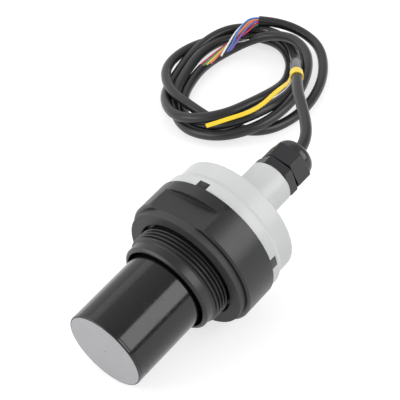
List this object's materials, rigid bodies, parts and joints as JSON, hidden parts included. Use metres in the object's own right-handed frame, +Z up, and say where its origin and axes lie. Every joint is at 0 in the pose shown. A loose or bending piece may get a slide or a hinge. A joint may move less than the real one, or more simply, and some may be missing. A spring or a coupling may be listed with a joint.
{
  "type": "ultrasonic level sensor",
  "caption": "Ultrasonic level sensor with a glossy black barrel, a threaded black body with wrench flats, a grey cap with a long neck, and a black gland with a coiled flying lead.",
  "frame": {"origin": "on the floor, under the middle of the lying sensor, measured without its cable", "axes": "+Z up; +Y is the level direction from the sensing face to the cable gland, seen from above; +X is level and square to it. The sensor's own axis rises 12.17 degrees from +Y, because it lies on its tip and on its gasket"},
  "size_m": [0.2451, 0.352, 0.0834],
  "materials": {
    "body_black": "fine moulded grain",
    "barrel_black": "polished, with fine scratches",
    "face_grey": "satin cast resin",
    "gasket_rubber": "dull",
    "ring_rubber": "dull",
    "cap_grey": "satin",
    "gland_black": "satin, smooth nylon",
    "piezo_ceramic": "fired ceramic with silvered faces",
    "backing_rubber": "dull",
    "probe_steel": "bright",
    "lead_copper": "tinned copper in thin insulation",
    "potting_resin": "cast epoxy",
    "retainer_plastic": "glass-filled nylon",
    "board_green": "solder mask",
    "spacer_nylon": "nylon",
    "screw_steel": "zinc plated",
    "transformer_wound": "wound bobbin",
    "capacitor_can": "plain can",
    "chip_epoxy": "moulded epoxy",
    "terminal_green": "moulded",
    "cable_black": "matte PVC",
    "marker_yellow": "satin vinyl",
    "screen_copper": "tinned copper strand",
    "core_red": "smooth PVC",
    "core_green": "smooth PVC",
    "core_yellow": "smooth PVC",
    "core_orange": "smooth PVC",
    "core_white": "smooth PVC",
    "core_black": "smooth PVC",
    "core_blue": "smooth PVC",
    "core_violet": "smooth PVC"
  },
  "bodies": {
    "sensor": {"threaded_body": "body_black", "process_gasket": "gasket_rubber", "sensor_barrel": "barrel_black", "transducer_face": "face_grey", "piezo_disc": "piezo_ceramic", "backing_cup": "backing_rubber", "temperature_probe": "probe_steel", "transducer_leads": "lead_copper", "potting_plug": "potting_resin", "retaining_ring": "retainer_plastic", "barrel_oring": "ring_rubber", "cap_oring": "ring_rubber", "housing_cap": "cap_grey", "main_board": "board_green", "board_spacers": "spacer_nylon", "board_screws": "screw_steel", "pulse_transformer": "transformer_wound", "storage_capacitors": "capacitor_can", "control_chip": "chip_epoxy", "terminal_block": "terminal_green", "gland_body": "gland_black", "gland_oring": "ring_rubber", "gland_seal": "ring_rubber", "inner_cable": "cable_black", "inner_cores": "core_white", "signal_cable": "cable_black", "cable_coil": "cable_black", "cable_end": "cable_black", "cable_marker": "marker_yellow", "drain_wire": "screen_copper", "core_red": "core_red", "core_green": "core_green", "core_yellow": "core_yellow", "core_orange": "core_orange", "core_white": "core_white", "core_black": "core_black", "core_blue": "core_blue", "core_violet": "core_violet"},
    "clamping_nut": {"gland_nut": "gland_black"}
  },
  "joints": [
    {"name": "gland_nut_turn", "type": "hinge", "parent": "sensor", "child": "clamping_nut", "pos_m": [0, 0.07147, 0.05589], "axis": [0, 0.9775, 0.2108], "range_deg": [0, 360]}
  ]
}
